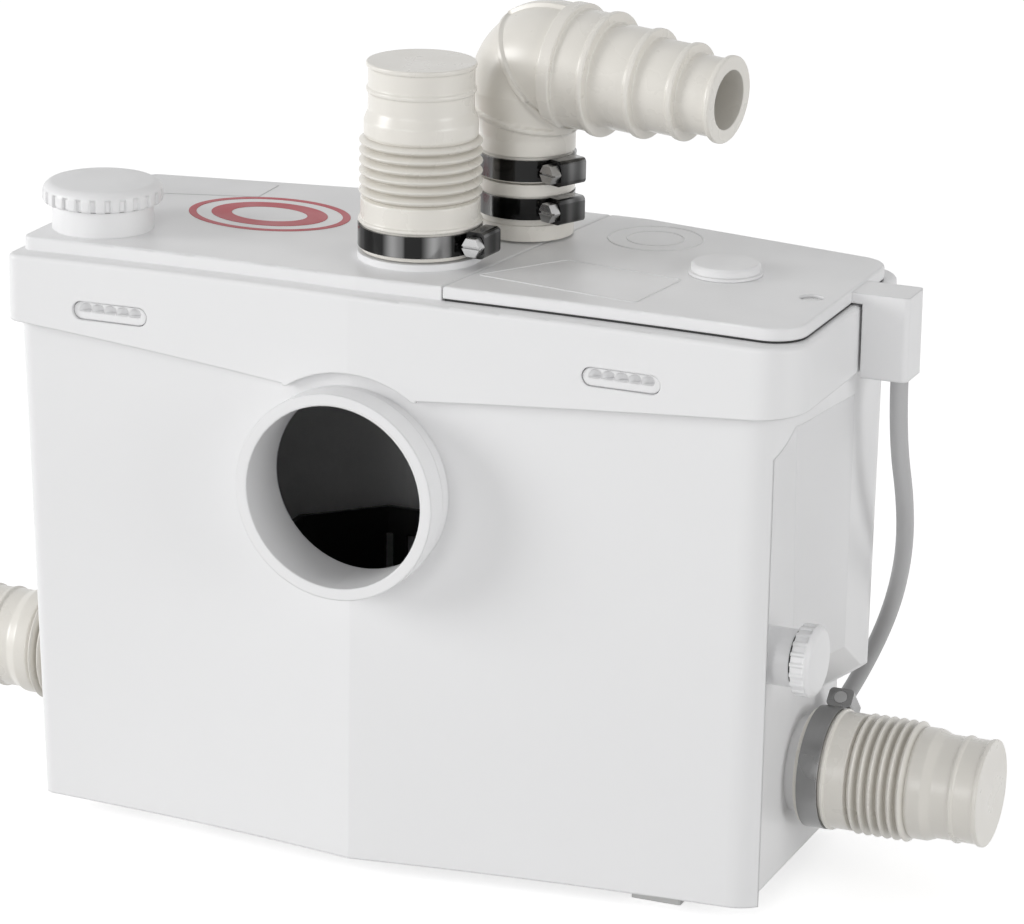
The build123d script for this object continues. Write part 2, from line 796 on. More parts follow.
def worm_clamp(name, center, direction, facing, radius):
    """Band of a radius round direction, its housing towards facing, and the screw that tightens it."""
    tangent = Vector(*facing).cross(Vector(*direction))
    across = Plane(origin=center, x_dir=facing, z_dir=tangent)
    with BuildPart() as clamp:
        with BuildSketch(Plane(origin=center, x_dir=facing, z_dir=direction)):
            Circle(radius + band_thick)
            Circle(radius + running_gap, mode=Mode.SUBTRACT)
        extrude(amount=band_width / 2, both=True)
        with BuildSketch(across):
            with Locations((radius + band_thick / 2 + worm_housing_height / 2, 0)):
                RectangleRounded(worm_housing_height, worm_housing_width, worm_housing_round)
            with Locations((radius + worm_offset, 0)):
                Circle(worm_radius + running_gap, mode=Mode.SUBTRACT)
        extrude(amount=worm_housing_length / 2, both=True)
        with BuildSketch(across):
            with Locations((radius + worm_offset, 0)):
                Circle(worm_radius + running_gap)
        extrude(amount=worm_housing_length, both=True, mode=Mode.SUBTRACT)
    save(clamp, f"{name}_clamp")
    head_start = worm_housing_length / 2 + worm_head_gap
    with BuildPart() as screw:
        with BuildSketch(across.offset(-worm_housing_length / 2)):
            with Locations((radius + worm_offset, 0)):
                Circle(worm_radius)
        extrude(amount=worm_housing_length + worm_head_gap)
        with BuildSketch(across.offset(head_start)):
            with Locations((radius + worm_offset, 0)):
                RegularPolygon(worm_head_radius, 6)
        extrude(amount=worm_head_length)
        with BuildSketch(across.offset(head_start + worm_head_length - worm_slot_depth)):
            with Locations((radius + worm_offset, 0)):
                Rectangle(2 * worm_head_radius, worm_slot_width)
        extrude(amount=worm_slot_depth, mode=Mode.SUBTRACT)
    save(screw, f"{name}_clamp_screw")


band_middle = sleeve_seat_length / 2 + bead / 2
top_facing = (cos(radians(-5)), sin(radians(-5)), 0)
side_facing = (0, cos(radians(45)), sin(radians(45)))
worm_clamp(
    "top_inlet",
    (top_inlet_x, top_inlet_y, top_sleeve_z + band_middle),
    (0, 0, 1),
    top_facing,
    sleeve_seat_radius,
)
for side, name in ((-1, "left_inlet"), (1, "right_inlet")):
    worm_clamp(
        name,
        (side * (sleeve_foot_x + band_middle), side_inlet_y, side_inlet_z),
        (side, 0, 0),
        side_facing,
        sleeve_seat_radius,
    )

# Discharge: a rubber cuff on the lid's outlet, a hard valve body with its flap, and a swivelling elbow
cuff_foot = 1
cuff_radius = 19.4
cuff_lip_radius = 20.2
cuff_lip_rise = 7.7
cuff_top_rise = 20.3
flange_radius = 20.5
flange_thick = 5.2
valve_bore = 14.5
seat_radius = 9.5
seat_thick = 2.2
valve_neck = 13.5
spigot_depth = 10.1
cuff_lip_z = plate_z + cuff_lip_rise
cuff_top_z = plate_z + cuff_top_rise
flange_top_z = cuff_top_z + flange_thick
seat_top_z = cuff_top_z + seat_thick
valve_top_z = flange_top_z + valve_neck
spigot_foot_z = cuff_top_z - spigot_depth
outlet_bore = outlet_stub_radius - outlet_stub_wall
cuff_plane = Plane(origin=(outlet_x, outlet_y, plate_z + cuff_foot), z_dir=(0, 0, 1))
with BuildPart() as outlet_coupling:
    with BuildSketch(cuff_plane):
        Circle(cuff_lip_radius)
    extrude(amount=cuff_lip_z - plate_z - cuff_foot)
    with BuildSketch(cuff_plane):
        Circle(cuff_radius)
    extrude(amount=cuff_top_z - plate_z - cuff_foot)
    with BuildSketch(cuff_plane):
        Circle(outlet_stub_radius)
    extrude(amount=cuff_top_z - plate_z - cuff_foot, mode=Mode.SUBTRACT)
save(outlet_coupling, "outlet_coupling")

flap_radius = 11
flap_shift = 0.6
flap_thick = 2
flap_pin_radius = 0.9
flap_pin_x = -12.2
flap_pin_rise = 1.8
flap_ear_inner = 3.4
flap_ear_outer = 5.4
flap_ear_reach = 1.3
with BuildPart() as valve_body:
    with BuildSketch(Plane(origin=(outlet_x, outlet_y, 0), x_dir=(1, 0, 0), z_dir=(0, -1, 0))):
        with BuildLine():
            Polyline(
                (outlet_bore, spigot_foot_z),
                (outlet_stub_radius, spigot_foot_z),
                (outlet_stub_radius, cuff_top_z),
                (flange_radius, cuff_top_z),
                (flange_radius, flange_top_z),
                (outlet_stub_radius, flange_top_z),
                (outlet_stub_radius, valve_top_z),
                (valve_bore, valve_top_z),
                (valve_bore, seat_top_z),
                (seat_radius, seat_top_z),
                (seat_radius, cuff_top_z),
                (outlet_bore, cuff_top_z),
                close=True,
            )
        make_face()
    revolve(axis=Axis((outlet_x, outlet_y, 0), (0, 0, 1)))
    pin_plane = Plane(
        origin=(outlet_x + flap_pin_x, outlet_y, seat_top_z + flap_pin_rise), x_dir=(1, 0, 0), z_dir=(0, -1, 0)
    )
    for ear_side in (1, -1):
        with BuildSketch(pin_plane.offset(ear_side * flap_ear_inner)):
            with Locations((-flap_ear_reach / 2, 0)):
                Rectangle(3 * flap_ear_reach, 2 * flap_pin_rise)
            Circle(flap_pin_radius + running_gap, mode=Mode.SUBTRACT)
        extrude(amount=ear_side * (flap_ear_outer - flap_ear_inner))
save(valve_body, "valve_body")

with BuildPart() as discharge_flap:
    with BuildSketch(Plane.XY.offset(seat_top_z + seat_gap)):
        with Locations((outlet_x + flap_shift, outlet_y)):
            Circle(flap_radius)
        with Locations((outlet_x + flap_pin_x / 2, outlet_y)):
            Rectangle(-flap_pin_x, 2 * (flap_ear_inner - seat_gap))
    extrude(amount=flap_thick)
    with BuildSketch(pin_plane):
        Circle(flap_pin_rise - seat_gap)
    extrude(amount=flap_ear_inner - seat_gap, both=True)
    with BuildSketch(pin_plane):
        Circle(flap_pin_radius)
    extrude(amount=flap_ear_outer, both=True)
save(discharge_flap, "discharge_flap")

elbow_turn = 8
elbow_foot_z = flange_top_z + seat_gap
elbow_seat_radius = 19.6
elbow_seat_length = 11.2
elbow_collar_radius = 20.4
elbow_collar_length = 7
bend_tube_radius = 24.5
bend_rise = 36.4
bend_radius = 12.5
bend_turn = 93.6
bend_bore = 16.5
bend_z = elbow_foot_z + bend_rise
elbow_x_dir = (cos(radians(elbow_turn)), -sin(radians(elbow_turn)), 0)
elbow_normal = Vector(*elbow_x_dir).cross(Vector(0, 0, 1))
elbow_axis_point = Vector(outlet_x, outlet_y, 0)
pivot_point = elbow_axis_point + Vector(*elbow_x_dir) * bend_radius + Vector(0, 0, bend_z)
bend_axis = Axis(pivot_point, elbow_normal * -1)


def bend_section(angle, distance):
    """Plane through the bend's pivot at an angle from the upright tube, its x away from the pivot."""
    away = Vector(*elbow_x_dir) * -cos(radians(angle)) + Vector(0, 0, 1) * sin(radians(angle))
    return Plane(origin=pivot_point + away * distance, x_dir=away, z_dir=away.cross(elbow_normal))


# Nozzle steps: flange radius, start from the bend's end, flange thickness, radius of the barrel after it
nozzle_steps = [(27.2, 5.6, 6, 25), (26.4, 24, 2.8, 22), (23.2, 44.3, 2.7, 19.5), (20.6, 62.7, 2.7, 16.5)]
nozzle_length = 81.8
nozzle_bores = [(bend_bore, 30), (14.5, 48.9), (12.5, nozzle_length)]
nozzle_end_radius = 18.4
nozzle_end_lip = 2.5
nozzle_straight = nozzle_steps[0][1]
fan_reach = 21
fan_rise = 21.2
fan_angles = (10.5, 58)
rib_thick = 2.6
rib_step = 1.3
spine_start = 57
spine_width = 9
spine_step = 1.8
collar_plane = bend_section(0, bend_radius).offset(-bend_rise)
body_plane = collar_plane.offset(elbow_seat_length + elbow_collar_length)
nozzle_plane = bend_section(bend_turn, bend_radius)


def half_disc(radius):
    """A disc round the tube's centre, without what lies past the bend's pivot."""
    with BuildSketch(Plane.XY) as disc:
        Circle(radius)
        with Locations((-bend_radius - radius / 2, 0)):
            Rectangle(radius, 2 * radius, mode=Mode.SUBTRACT)
    return disc.sketch


def elbow_body(grow):
    """Outside of the elbow from its collar to its first flange, with its surface moved out by grow."""
    with BuildPart() as body:
        with Locations(body_plane):
            Cone(
                elbow_collar_radius + grow,
                bend_tube_radius + grow,
                bend_rise - elbow_seat_length - elbow_collar_length,
                align=(Align.CENTER, Align.CENTER, Align.MIN),
            )
        with BuildSketch(bend_section(0, bend_radius)):
            add(half_disc(bend_tube_radius + grow))
        revolve(axis=bend_axis, revolution_arc=bend_turn)
        with BuildSketch(nozzle_plane):
            Circle(bend_tube_radius + grow)
        extrude(amount=nozzle_straight)
    return body.part


with BuildPart() as elbow_ribs:
    for angle in fan_angles:
        out = Vector(*elbow_x_dir) * -cos(radians(angle)) + Vector(0, 0, 1) * sin(radians(angle))
        fan_point = elbow_axis_point + Vector(*elbow_x_dir) * fan_reach + Vector(0, 0, elbow_foot_z + fan_rise)
        with BuildSketch(Plane(origin=fan_point, x_dir=out, z_dir=out.cross(elbow_normal))):
            Rectangle(3 * bend_tube_radius, 3 * bend_tube_radius, align=(Align.MIN, Align.CENTER))
        extrude(amount=rib_thick / 2, both=True)
    add(elbow_body(rib_step), mode=Mode.INTERSECT)

with BuildPart() as discharge_elbow:
    with BuildSketch(collar_plane):
        Circle(elbow_seat_radius)
    extrude(amount=elbow_seat_length + elbow_collar_length)
    with BuildSketch(collar_plane.offset(elbow_seat_length)):
        Circle(elbow_collar_radius)
    extrude(amount=elbow_collar_length)
    add(elbow_body(0))
    add(elbow_ribs.part)
    with BuildSketch(bend_section(spine_start, bend_radius)) as spine:
        with Locations((bend_tube_radius, 0)):
            Rectangle(2 * spine_step, spine_width)
    revolve(axis=bend_axis, revolution_arc=bend_turn - spine_start)
    with BuildSketch(nozzle_plane):
        with Locations((bend_tube_radius, 0)):
            Rectangle(2 * spine_step, spine_width)
    extrude(amount=nozzle_straight)
    ends = [step[1] for step in nozzle_steps[1:]] + [nozzle_length]
    for (flange, start, flange_length, barrel_radius), end in zip(nozzle_steps, ends):
        with BuildSketch(nozzle_plane.offset(start)):
            Circle(flange)
        extrude(amount=flange_length)
        with BuildSketch(nozzle_plane.offset(start)):
            Circle(barrel_radius)
        extrude(amount=end - start)
    with BuildSketch(nozzle_plane.offset(nozzle_length - nozzle_end_lip)):
        Circle(nozzle_end_radius)
    extrude(amount=nozzle_end_lip)
    with BuildSketch(collar_plane):
        Circle(outlet_stub_radius + running_gap)
    extrude(amount=bend_rise, mode=Mode.SUBTRACT)
    with BuildSketch(bend_section(0, bend_radius)):
        add(half_disc(bend_bore))
    revolve(axis=bend_axis, revolution_arc=bend_turn, mode=Mode.SUBTRACT)
    start = 0
    for bore_radius, bore_end in nozzle_bores:
        with BuildSketch(nozzle_plane.offset(start)):
            Circle(bore_radius)
        extrude(amount=bore_end - start, mode=Mode.SUBTRACT)
        start = bore_end
save(discharge_elbow, "discharge_elbow")

outlet_facing = (cos(radians(-25)), sin(radians(-25)), 0)
worm_clamp(
    "outlet", (outlet_x, outlet_y, (cuff_lip_z + cuff_top_z) / 2 + bead), (0, 0, 1), outlet_facing, cuff_radius
)
worm_clamp(
    "elbow", (outlet_x, outlet_y, elbow_foot_z + elbow_seat_length / 2), (0, 0, 1), outlet_facing, elbow_seat_radius
)

# Side inlets: a hard seat inside each end wall, and a hinged flap that lets water in and not out
inlet_seat_radius = 20.5
inlet_seat_thick = 3
inlet_flap_radius = 18.7
inlet_pin_rise = 21.4
inlet_wall_x = end_floor_x - wall
inlet_seat_x = inlet_wall_x - inlet_seat_thick
inlet_flap_x = inlet_seat_x - seat_gap
inlet_pin_x = inlet_flap_x - flap_pin_rise
for side, name in ((-1, "left"), (1, "right")):
    seat_plane = Plane(
        origin=(side * inlet_seat_x, side_inlet_y, side_inlet_z), x_dir=(0, 1, 0), z_dir=(side, 0, 0)
    )
    ear_plane = Plane(
        origin=(side * inlet_pin_x, side_inlet_y, side_inlet_z + inlet_pin_rise), x_dir=(1, 0, 0), z_dir=(0, 1, 0)
    )
    with BuildPart() as flap_seat:
        with BuildSketch(seat_plane):
            Circle(inlet_seat_radius)
            with Locations((0, side * (inlet_pin_rise - flap_ear_outer))):
                Rectangle(2 * flap_ear_outer, 2 * (flap_ear_outer + flap_pin_rise))
            Circle(stub_radius - stub_wall, mode=Mode.SUBTRACT)
        extrude(amount=inlet_seat_thick)
        for ear_side in (1, -1):
            with BuildSketch(ear_plane.offset(ear_side * flap_ear_inner)):
                with Locations((side * flap_ear_reach / 2, 0)):
                    Rectangle(2 * flap_pin_rise + flap_ear_reach, 2 * flap_pin_rise)
                Circle(flap_pin_radius + running_gap, mode=Mode.SUBTRACT)
            extrude(amount=ear_side * (flap_ear_outer - flap_ear_inner))
    save(flap_seat, f"{name}_flap_seat")
    with BuildPart() as inlet_flap:
        with BuildSketch(seat_plane.offset(-seat_gap)):
            Circle(inlet_flap_radius)
            with Locations((0, side * inlet_pin_rise / 2)):
                Rectangle(2 * (flap_ear_inner - seat_gap), inlet_pin_rise)
        extrude(amount=-flap_thick)
        with BuildSketch(ear_plane):
            Circle(flap_pin_rise - seat_gap)
        extrude(amount=flap_ear_inner - seat_gap, both=True)
        with BuildSketch(ear_plane):
            Circle(flap_pin_radius)
        extrude(amount=flap_ear_outer, both=True)
    save(inlet_flap, f"{name}_inlet_flap")

# Cutter basket: a slotted basket with cut corners that keeps solids in front of the blade
floor_z = foot_height + wall
basket_left_inset = 93
basket_right = 30
basket_front_inset = 34
basket_rear_inset = 38
basket_corner = 30
basket_wall = 2.5
basket_height = 114.5
basket_slot = 4
basket_slot_pitch = 10
basket_slot_foot = 12
cutter_radius = 36
blade_window = 33
basket_left = basket_left_inset - half_body
basket_front = front_y + basket_front_inset
basket_rear = rear_y - basket_rear_inset
basket_top_z = floor_z + basket_height
basket_middle_x = (basket_left + basket_right) / 2
basket_middle_y = (basket_front + basket_rear) / 2
basket_length = basket_right - basket_left
basket_width = basket_rear - basket_front
slot_height = basket_top_z - floor_z - 2 * basket_slot_foot
slot_z = floor_z + basket_slot_foot + slot_height / 2
front_slots = int((basket_length - 2 * basket_corner) // basket_slot_pitch) + 1
side_slots = int((basket_width - 2 * basket_corner) // basket_slot_pitch) + 1


def basket_outline(inset):
    """The basket's plan: a rectangle with cut corners, drawn in by inset."""
    with BuildSketch() as plan:
        with Locations((basket_middle_x, basket_middle_y)):
            Rectangle(basket_length - 2 * inset, basket_width - 2 * inset)
        chamfer(plan.vertices(), basket_corner - inset * tan(radians(22.5)) * 2)
    return plan.sketch


with BuildPart() as basket:
    with BuildSketch(Plane.XY.offset(floor_z + seat_gap)):
        add(basket_outline(0))
    extrude(amount=basket_top_z - floor_z - seat_gap)
    with BuildSketch(Plane.XY.offset(floor_z + seat_gap + basket_wall)):
        add(basket_outline(basket_wall))
    extrude(amount=basket_top_z - floor_z, mode=Mode.SUBTRACT)
    with BuildSketch(Plane(origin=(basket_middle_x, basket_front - bead, slot_z), x_dir=(1, 0, 0), z_dir=(0, -1, 0))):
        with GridLocations(basket_slot_pitch, 0, front_slots, 1):
            Rectangle(basket_slot, slot_height)
    extrude(amount=-basket_width - 2 * bead, mode=Mode.SUBTRACT)
    with BuildSketch(Plane(origin=(basket_left - bead, basket_middle_y, slot_z), x_dir=(0, 1, 0), z_dir=(1, 0, 0))):
        with GridLocations(basket_slot_pitch, 0, side_slots, 1):
            Rectangle(basket_slot, slot_height)
    extrude(amount=2 * basket_wall + bead, mode=Mode.SUBTRACT)
    with BuildSketch(Plane(origin=(basket_right - 2 * basket_wall, shaft_y, shaft_z), z_dir=(1, 0, 0))):
        Circle(blade_window)
    extrude(amount=3 * basket_wall, mode=Mode.SUBTRACT)
save(basket, "cutter_basket")

# Cutter plate, pump volute and motor, one behind the other along the shaft
shaft_radius = 5
cutter_thick = 3
cutter_slot_count = 12
cutter_slot_inner = 12
cutter_slot_outer = 28
cutter_slot_width = 4
basket_to_cutter = 1
cutter_x = basket_right + basket_to_cutter
volute_x = cutter_x + cutter_thick
volute_length = 24
volute_radius = 34
volute_wall = 3
seal_radius = 9
motor_gap = 2
motor_x = volute_x + volute_length + motor_gap
outlet_neck_radius = 10.5
outlet_neck_bore = 8.5
outlet_neck_top = 116
neck_x = volute_x + volute_length / 2
neck_y = shaft_y + volute_radius - volute_wall - outlet_neck_radius


def across_shaft(x):
    """Plane square to the shaft at a place along it."""
    return Plane(origin=(x, shaft_y, shaft_z), x_dir=(0, 1, 0), z_dir=(1, 0, 0))


with BuildPart() as cutter_plate:
    with BuildSketch(across_shaft(cutter_x)):
        Circle(cutter_radius)
        Circle(shaft_radius + seat_gap, mode=Mode.SUBTRACT)
        with PolarLocations((cutter_slot_inner + cutter_slot_outer) / 2, cutter_slot_count):
            SlotOverall(cutter_slot_outer - cutter_slot_inner, cutter_slot_width, mode=Mode.SUBTRACT)
    extrude(amount=cutter_thick)
save(cutter_plate, "cutter_plate")

with BuildPart() as volute:
    with BuildSketch(across_shaft(volute_x)):
        Circle(volute_radius)
    extrude(amount=volute_length)
    with BuildSketch(across_shaft(volute_x + volute_length)):
        Circle(2 * seal_radius)
    extrude(amount=motor_gap)
    with BuildSketch(Plane(origin=(neck_x, neck_y, shaft_z), z_dir=(0, 0, 1))):
        Circle(outlet_neck_radius)
    extrude(amount=outlet_neck_top - shaft_z)
    with BuildSketch(across_shaft(volute_x)):
        Circle(volute_radius - volute_wall)
    extrude(amount=volute_length - volute_wall, mode=Mode.SUBTRACT)
    with BuildSketch(Plane(origin=(neck_x, neck_y, shaft_z), z_dir=(0, 0, 1))):
        Circle(outlet_neck_bore)
    extrude(amount=outlet_neck_top - shaft_z, mode=Mode.SUBTRACT)
    with BuildSketch(across_shaft(volute_x)):
        Circle(seal_radius)
    extrude(amount=volute_length + motor_gap, mode=Mode.SUBTRACT)
save(volute, "pump_volute")

shaft_seal = tube(
    across_shaft(volute_x + volute_length - volute_wall),
    seal_radius - running_gap,
    shaft_radius + running_gap,
    volute_wall + motor_gap - running_gap,
)
save(shaft_seal, "shaft_seal")

motor_radius = 40
motor_wall = 2.5
motor_length = 52
bearing_radius = 12
bearing_width = 7
bearing_seat = 3
stator_start = 14
stator_length = 24
stator_bore = 21
rotor_radius = 20.5
winding_inner = 23
winding_outer = 34
winding_length = 6
saddle_start = 8
saddle_length = 36
saddle_foot_half = 33
saddle_top_half = 24
with BuildPart() as motor_housing:
    with BuildSketch(across_shaft(motor_x + saddle_start)):
        with BuildLine():
            Polyline(
                (-saddle_foot_half, floor_z + seat_gap - shaft_z),
                (saddle_foot_half, floor_z + seat_gap - shaft_z),
                (saddle_top_half, motor_wall - motor_radius / 2),
                (-saddle_top_half, motor_wall - motor_radius / 2),
                close=True,
            )
        make_face()
    extrude(amount=saddle_length)
    with BuildSketch(across_shaft(motor_x)):
        Circle(motor_radius)
    extrude(amount=motor_length - motor_wall)
    with BuildSketch(across_shaft(motor_x + motor_wall)):
        Circle(motor_radius - motor_wall)
        Circle(bearing_radius + bearing_seat, mode=Mode.SUBTRACT)
    extrude(amount=bearing_width, mode=Mode.SUBTRACT)
    with BuildSketch(across_shaft(motor_x + motor_wall + bearing_width)):
        Circle(motor_radius - motor_wall)
    extrude(amount=motor_length, mode=Mode.SUBTRACT)
    with BuildSketch(across_shaft(motor_x + motor_wall)):
        Circle(bearing_radius)
    extrude(amount=motor_length, mode=Mode.SUBTRACT)
    with BuildSketch(across_shaft(motor_x - bead)):
        Circle(shaft_radius + seat_gap)
    extrude(amount=motor_length, mode=Mode.SUBTRACT)
save(motor_housing, "motor_housing")

end_cap_x = motor_x + motor_length - motor_wall
with BuildPart() as motor_end_cap:
    with BuildSketch(across_shaft(end_cap_x)):
        Circle(motor_radius)
    extrude(amount=motor_wall)
    with BuildSketch(across_shaft(end_cap_x)):
        Circle(bearing_radius + bearing_seat)
        Circle(bearing_radius, mode=Mode.SUBTRACT)
    extrude(amount=-bearing_width)
save(motor_end_cap, "motor_end_cap")

save(
    tube(
        across_shaft(motor_x + motor_wall),
        bearing_radius - running_gap / 2,
        shaft_radius + running_gap / 2,
        bearing_width,
    ),
    "front_bearing",
)
save(
    tube(
        across_shaft(end_cap_x - bearing_width),
        bearing_radius - running_gap / 2,
        shaft_radius + running_gap / 2,
        bearing_width,
    ),
    "rear_bearing",
)
save(
    tube(across_shaft(motor_x + stator_start), motor_radius - motor_wall - running_gap, stator_bore, stator_length),
    "stator",
)
with BuildPart() as windings:
    for winding_x in (motor_x + stator_start - winding_length, motor_x + stator_start + stator_length):
        with BuildSketch(across_shaft(winding_x)):
            Circle(winding_outer)
            Circle(winding_inner, mode=Mode.SUBTRACT)
        extrude(amount=winding_length)
save(windings, "stator_windings")

# Rotor group: the shaft with the motor's rotor, the pump's impeller and the macerator's blade
blade_x = basket_right - 2 * basket_wall
blade_radius = 30
blade_thick = 4.5
blade_hub_radius = 8
blade_arm_width = 11
blade_tip_width = 6
blade_arm_count = 4
impeller_x = volute_x + 3
impeller_radius = 29
impeller_disc = 3
impeller_vane_height = 9
impeller_vane_thick = 2.4
impeller_vane_count = 6
impeller_hub_radius = 8
with BuildPart() as motor_shaft:
    with BuildSketch(across_shaft(blade_x - bead)):
        Circle(shaft_radius)
    extrude(amount=end_cap_x - seat_gap - blade_x + bead)
save(motor_shaft, "motor_shaft")
save(tube(across_shaft(motor_x + stator_start), rotor_radius, shaft_radius, stator_length), "rotor")

with BuildPart() as blade:
    with BuildSketch(across_shaft(blade_x)):
        with PolarLocations(0, blade_arm_count):
            Polygon(
                (0, -blade_arm_width / 2),
                (0, blade_arm_width / 2),
                (blade_radius - bead, blade_tip_width / 2),
                (blade_radius - bead, -blade_arm_width / 2),
                align=None,
            )
        Circle(blade_hub_radius)
        Circle(shaft_radius, mode=Mode.SUBTRACT)
    extrude(amount=blade_thick)
save(blade, "macerator_blade")

with BuildPart() as impeller:
    with BuildSketch(across_shaft(impeller_x)):
        Circle(impeller_hub_radius)
        with PolarLocations(0, impeller_vane_count):
            with BuildLine():
                vane = SagittaArc((impeller_hub_radius - bead, 0), (impeller_radius - bead, bead), 4 * bead)
                offset(amount=impeller_vane_thick / 2)
            make_face()
    extrude(amount=impeller_vane_height)
    with BuildSketch(across_shaft(impeller_x + impeller_vane_height)):
        Circle(impeller_radius)
    extrude(amount=impeller_disc)
    with BuildSketch(across_shaft(impeller_x)):
        Circle(shaft_radius)
    extrude(amount=impeller_vane_height + impeller_disc, mode=Mode.SUBTRACT)
save(impeller, "impeller")

# Riser: the pipe inside the tank from the pump's neck to the lid's outlet
riser_socket_radius = 12.6
riser_socket_depth = 12
riser_socket_length = 16
riser_straight = 19
riser_drop = 47
riser_bend = 40
riser_spigot_length = 24
riser_spigot_radius = outlet_bore - running_gap
riser_socket_foot = outlet_neck_top - riser_socket_depth
riser_straight_z = outlet_neck_top + riser_straight
riser_lean_z = lid_inner_z - riser_drop
riser_spigot_foot = lid_inner_z - riser_spigot_length
with BuildPart() as riser:
    with BuildLine() as riser_path:
        FilletPolyline(
            (neck_x, neck_y, riser_socket_foot),
            (neck_x, neck_y, riser_straight_z),
            (outlet_x, outlet_y, riser_lean_z),
            (outlet_x, outlet_y, lid_inner_z),
            radius=riser_bend,
        )
    with BuildSketch(Plane(origin=(neck_x, neck_y, riser_socket_foot), z_dir=(0, 0, 1))):
        Circle(outlet_neck_radius)
    sweep(path=riser_path.line)
    with BuildSketch(Plane(origin=(neck_x, neck_y, riser_socket_foot), z_dir=(0, 0, 1))):
        Circle(riser_socket_radius)
    extrude(amount=riser_socket_length)
    with BuildSketch(Plane(origin=(outlet_x, outlet_y, riser_spigot_foot), z_dir=(0, 0, 1))):
        Circle(riser_spigot_radius)
    extrude(amount=lid_inner_z - riser_spigot_foot)
    with BuildSketch(Plane(origin=(neck_x, neck_y, riser_socket_foot), z_dir=(0, 0, 1))):
        Circle(outlet_neck_bore)
    sweep(path=riser_path.line, mode=Mode.SUBTRACT)
    with BuildSketch(Plane(origin=(neck_x, neck_y, riser_socket_foot), z_dir=(0, 0, 1))):
        Circle(outlet_neck_radius + running_gap)
    extrude(amount=outlet_neck_top - riser_socket_foot, mode=Mode.SUBTRACT)
save(riser, "riser_pipe")

# Pressure switch in the tray, the dip tube under it, and the plunger that its diaphragm moves
dip_radius = 7
dip_wall = 1.5
dip_foot_gap = 18.5
switch_shift = 12
switch_radius = 16
switch_height = 8
switch_block_length = 20
switch_block_width = 12
switch_block_height = 14
plunger_radius = 1.8
plunger_rise = 1.2
tray_bed_z = tray_floor_z + shell
dip_foot_z = floor_z + dip_foot_gap
switch_y = dip_y + switch_shift
with BuildPart() as dip_tube:
    with BuildSketch(Plane(origin=(dip_x, dip_y, dip_foot_z), z_dir=(0, 0, 1))):
        Circle(dip_radius)
    extrude(amount=tray_floor_z - dip_foot_z - running_gap)
    with BuildSketch(Plane(origin=(dip_x, dip_y, dip_foot_z), z_dir=(0, 0, 1))):
        Circle(dip_nipple_radius)
    extrude(amount=tray_bed_z - dip_foot_z)
    with BuildSketch(Plane(origin=(dip_x, dip_y, dip_foot_z), z_dir=(0, 0, 1))):
        Circle(dip_radius - dip_wall)
    extrude(amount=tray_floor_z - dip_foot_z - dip_wall, mode=Mode.SUBTRACT)
    with BuildSketch(Plane(origin=(dip_x, dip_y, dip_foot_z), z_dir=(0, 0, 1))):
        Circle(dip_nipple_radius - dip_wall)
    extrude(amount=tray_bed_z - dip_foot_z, mode=Mode.SUBTRACT)
save(dip_tube, "dip_tube")

with BuildPart() as pressure_switch:
    with BuildSketch(Plane(origin=(dip_x, switch_y, tray_bed_z), z_dir=(0, 0, 1))):
        Circle(switch_radius)
    extrude(amount=switch_height)
    with BuildSketch(Plane(origin=(dip_x, switch_y, tray_bed_z + switch_height), z_dir=(0, 0, 1))):
        Rectangle(switch_block_length, switch_block_width)
    extrude(amount=switch_block_height)
    with BuildSketch(Plane(origin=(dip_x, switch_y, tray_bed_z + shell), z_dir=(0, 0, 1))):
        Circle(plunger_radius + running_gap)
    extrude(amount=switch_height + switch_block_height, mode=Mode.SUBTRACT)
save(pressure_switch, "pressure_switch")

with BuildPart() as switch_plunger:
    with BuildSketch(Plane(origin=(dip_x, switch_y, tray_bed_z + shell + running_gap), z_dir=(0, 0, 1))):
        Circle(plunger_radius)
    extrude(amount=switch_height + switch_block_height - shell - running_gap + plunger_rise)
save(switch_plunger, "switch_plunger")

# Motor capacitor and terminal block, both on the tray's floor
capacitor_radius = 17.5
capacitor_length = 68
capacitor_x = tray_right - capacitor_length - 4 * bead
capacitor_y = tray_front + shell + capacitor_radius + 3.5 * bead
capacitor_stud_radius = 4
capacitor_stud_length = 5
with BuildPart() as capacitor:
    with BuildSketch(Plane(origin=(capacitor_x, capacitor_y, tray_bed_z + capacitor_radius), z_dir=(1, 0, 0))):
        Circle(capacitor_radius)
    extrude(amount=capacitor_length - capacitor_stud_length)
    fillet(capacitor.edges(), bead)
    with BuildSketch(
        Plane(
            origin=(capacitor_x + capacitor_length - capacitor_stud_length, capacitor_y, tray_bed_z + capacitor_radius),
            x_dir=(0, 1, 0),
            z_dir=(1, 0, 0),
        )
    ):
        with GridLocations(2 * capacitor_stud_radius + 2 * bead, 0, 2, 1):
            Rectangle(capacitor_stud_radius, bead)
    extrude(amount=capacitor_stud_length)
save(capacitor, "motor_capacitor")

block_length = 34
block_width = 18
block_height = 15
block_x = tray_left + shell + block_length
block_y = tray_rear - shell - block_width + bead
block_poles = 3
block_pitch = 9
with BuildPart() as terminal_block:
    with BuildSketch(Plane(origin=(block_x, block_y, tray_bed_z), z_dir=(0, 0, 1))):
        RectangleRounded(block_length, block_width, bead)
    extrude(amount=block_height)
    with BuildSketch(Plane(origin=(block_x, block_y, tray_bed_z + block_height), z_dir=(0, 0, 1))):
        with GridLocations(block_pitch, block_width / 2, block_poles, 2):
            Circle(screw_hole)
    extrude(amount=-block_height / 2, mode=Mode.SUBTRACT)
save(terminal_block, "terminal_block")

